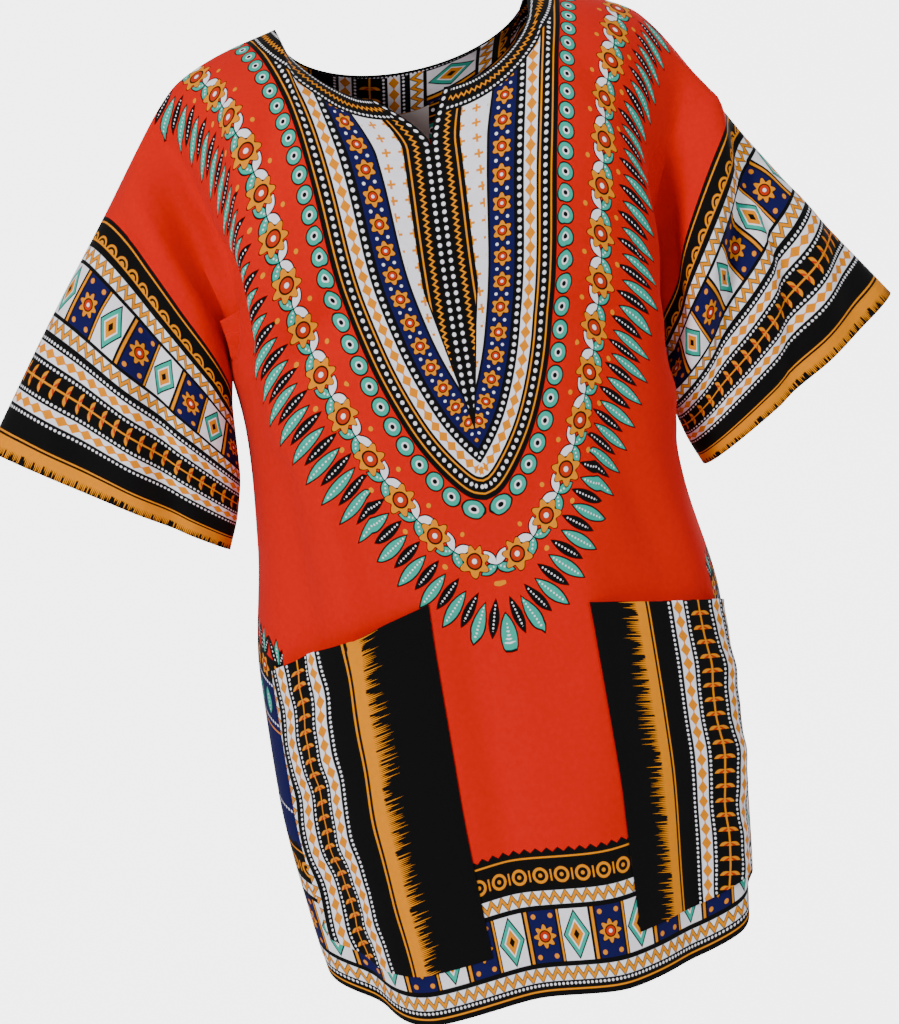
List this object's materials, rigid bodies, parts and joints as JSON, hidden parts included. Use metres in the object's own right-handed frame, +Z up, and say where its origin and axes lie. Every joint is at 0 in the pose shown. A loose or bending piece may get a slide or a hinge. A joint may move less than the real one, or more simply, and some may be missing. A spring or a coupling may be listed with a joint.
{
  "type": "kaftan shirt",
  "caption": "Loose collarless pull-on tunic with short wide sleeves cut in one with the body, a slit neckline, side slits and patch pockets",
  "frame": {"origin": "midway between the two points where the shoulder seams meet the neckline, on the wearer's neck", "axes": "+X to the left-hand side of the wearer, which is the right in a view of the front, -Y out of the front, +Z up"},
  "size_m": [0.734, 0.2676, 0.7855],
  "materials": {
    "orange_cotton": "printed plain-weave cotton, orange red with border prints",
    "border_cotton": "the same cotton cut from its black and gold border print",
    "label_tape": "pale woven tape, bare"
  },
  "bodies": {
    "root": {"front": "orange_cotton", "back": "orange_cotton", "pocket_left": "border_cotton", "pocket_right": "border_cotton", "neck_facing": "border_cotton", "label": "label_tape"}
  },
  "joints": []
}
